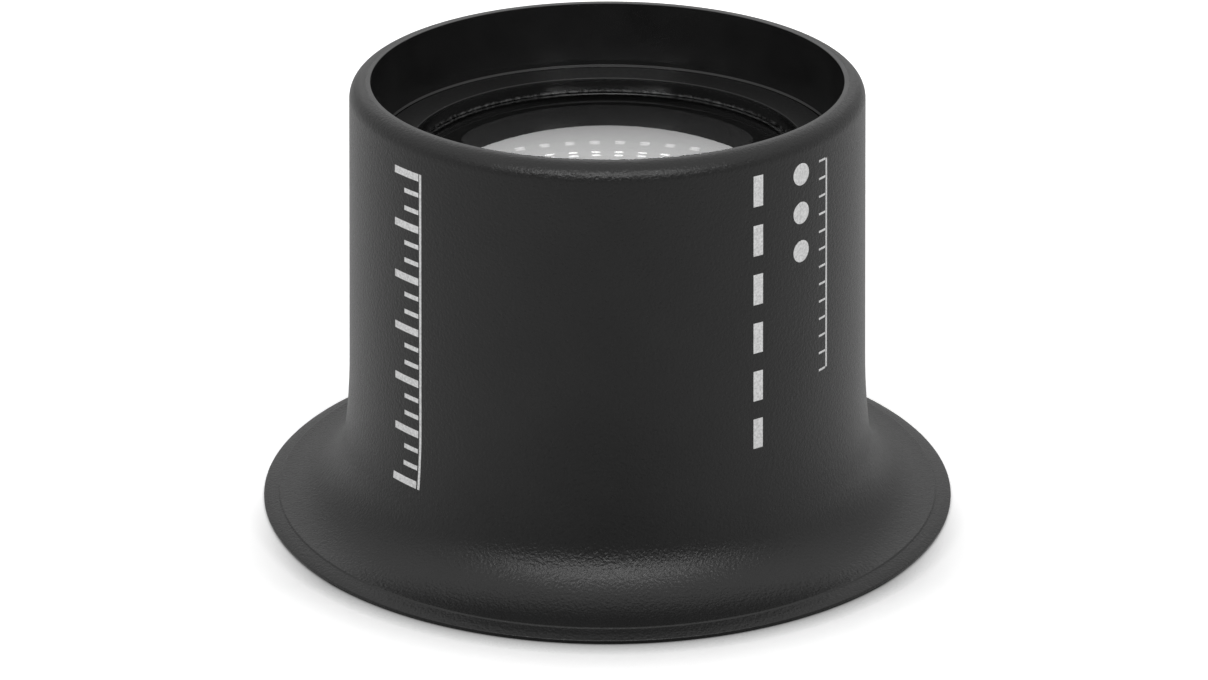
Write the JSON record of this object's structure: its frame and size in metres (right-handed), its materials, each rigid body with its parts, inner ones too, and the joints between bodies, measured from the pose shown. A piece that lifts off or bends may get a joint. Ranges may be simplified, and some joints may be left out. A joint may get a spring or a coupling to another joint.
{
  "type": "jeweler's eye loupe",
  "caption": "Single-lens 3x eye loupe: a black flared eye-cup barrel with a plano-convex glass lens held by a screw-in ring.",
  "frame": {"origin": "centre of the eye cup's rim plane, where the loupe stands on a table", "axes": "+Z along the optical axis, from the wearer's eye towards the work; X and Y are any two directions across it"},
  "size_m": [0.04, 0.04, 0.0251],
  "materials": {
    "housing_plastic": "fine spark-eroded grain, satin black",
    "lens_glass": "polished, clear",
    "print_ink": "thin matt light-grey pad print on the housing; no letters",
    "ring_plastic": "smooth satin black"
  },
  "bodies": {
    "housing": {"housing": "housing_plastic"},
    "lens": {"lens": "lens_glass"},
    "ring": {"retaining_ring": "ring_plastic"}
  },
  "joints": [
    {"name": "lens_lift", "type": "slide", "parent": "housing", "child": "lens", "axis": [0, 0, 1], "range_m": [0, 0.001]},
    {"name": "ring_unscrew", "type": "hinge", "parent": "lens", "child": "ring", "pos_m": [0, 0, 0.0205], "axis": [0, 0, 1], "range_deg": [0, 721]}
  ],
  "couplings": [
    {"joint": "ring_unscrew", "follows": "lens_lift", "rad_per_m": 12566}
  ]
}
